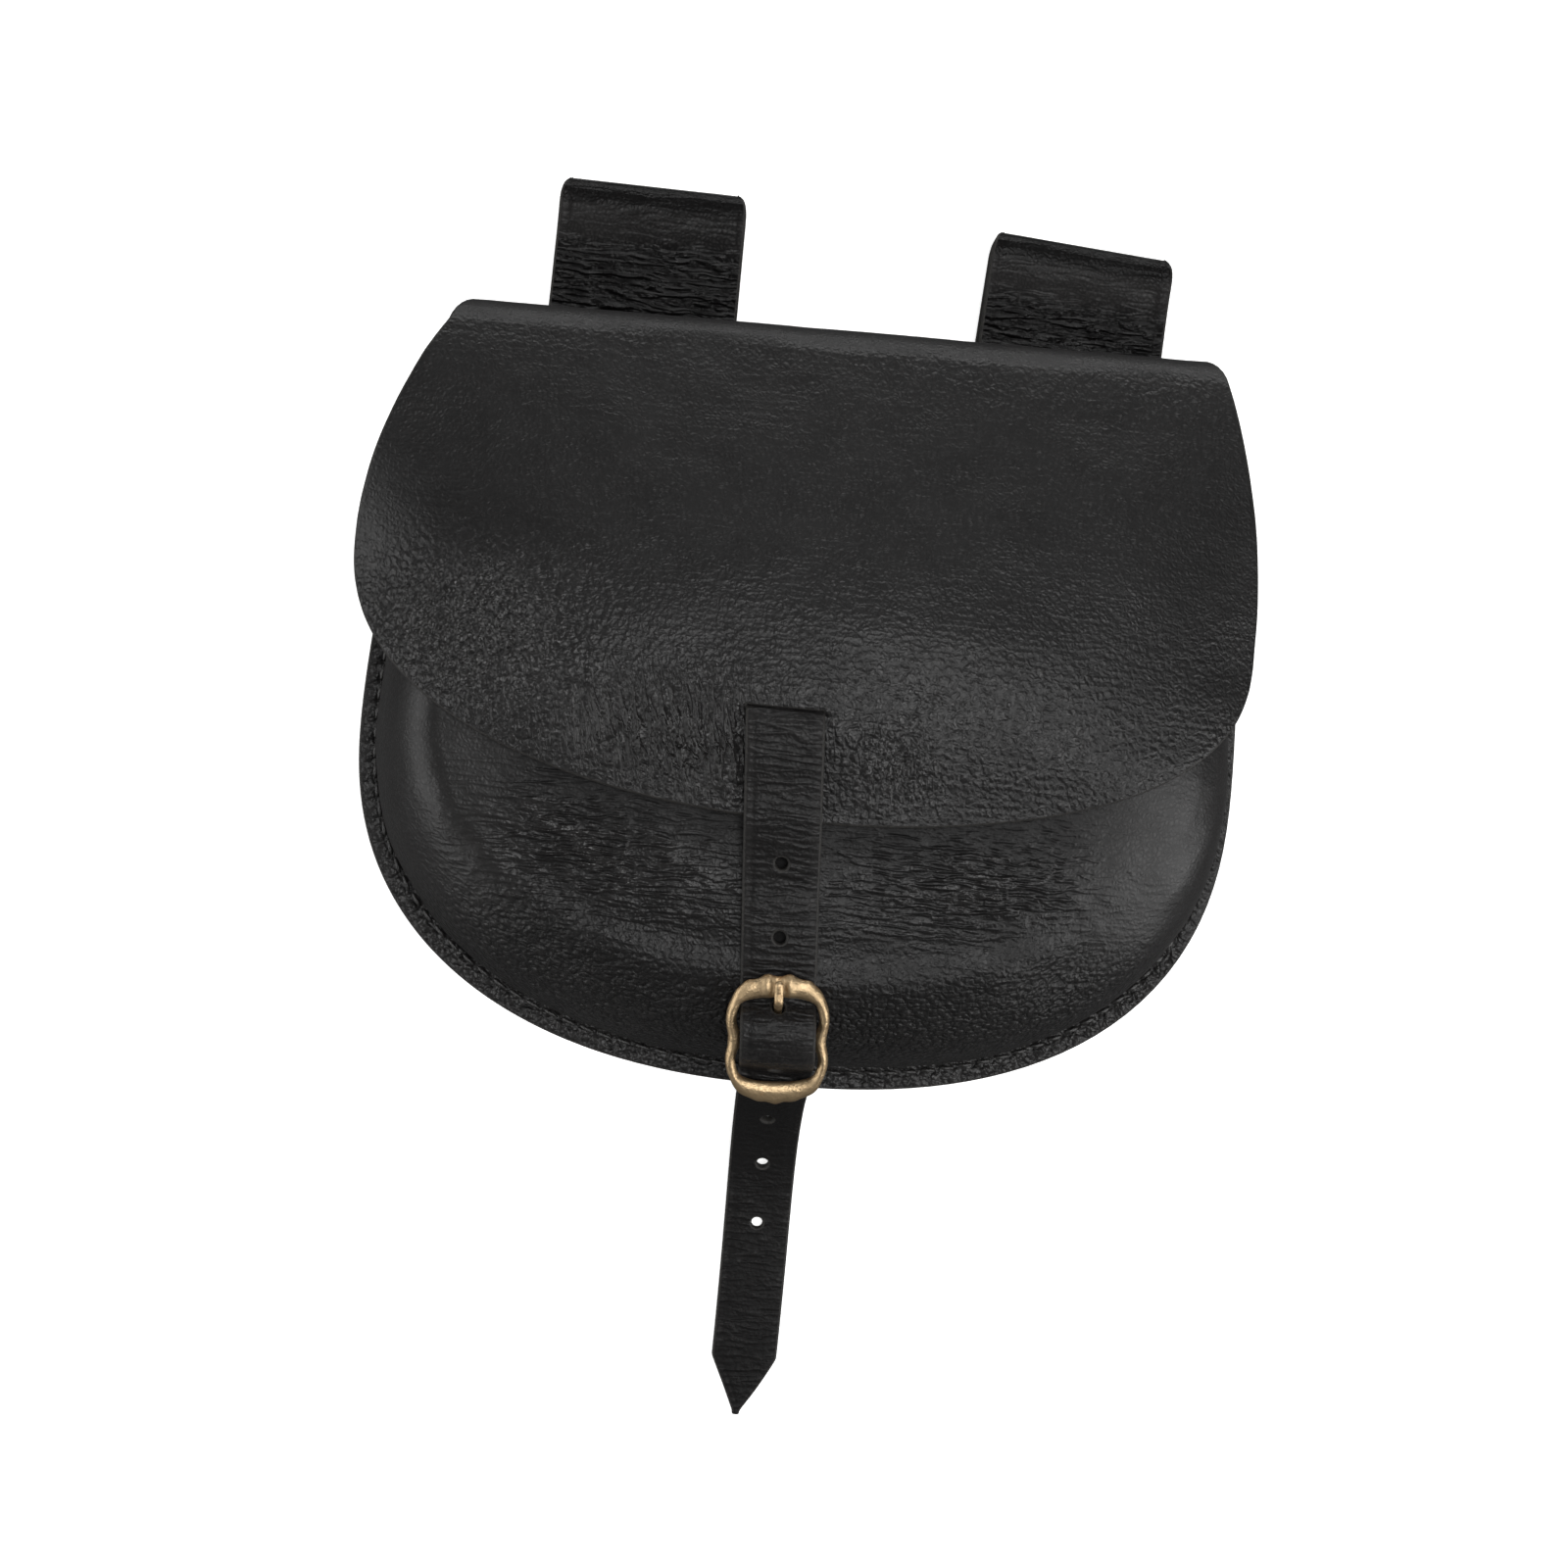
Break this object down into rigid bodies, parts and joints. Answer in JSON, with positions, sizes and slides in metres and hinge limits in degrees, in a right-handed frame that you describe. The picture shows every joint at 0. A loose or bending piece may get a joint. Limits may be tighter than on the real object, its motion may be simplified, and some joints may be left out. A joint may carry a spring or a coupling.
{
  "type": "leather belt pouch",
  "caption": "D-shaped leather belt pouch with a moulded front, a fold-over flap, loops behind for a belt, and a pointed strap fastened in a cast double-frame buckle.",
  "frame": {"origin": "on the surface that the pouch lies on, below the middle of its bounding box", "axes": "+Z out of the pouch's front, away from the surface; +Y towards the belt loops; +X to the right as the front is looked at with the loops up"},
  "size_m": [0.1978, 0.277, 0.051],
  "materials": {
    "flap_leather": "black tumbled grain, satin",
    "shell_leather": "black tumbled grain, satin",
    "loop_leather": "black tumbled grain, satin",
    "strap_leather": "black tumbled grain, satin",
    "tab_leather": "black tumbled grain, satin",
    "frame_brass": "cast, softly polished on the high places",
    "tongue_brass": "cast, softly polished on the high places"
  },
  "bodies": {
    "root": {"back_and_flap": "flap_leather", "front_panel": "shell_leather", "belt_loop_left": "loop_leather", "belt_loop_right": "loop_leather", "closing_strap": "strap_leather", "buckle_tab": "tab_leather", "buckle_frame": "frame_brass", "buckle_tongue": "tongue_brass"}
  },
  "joints": []
}
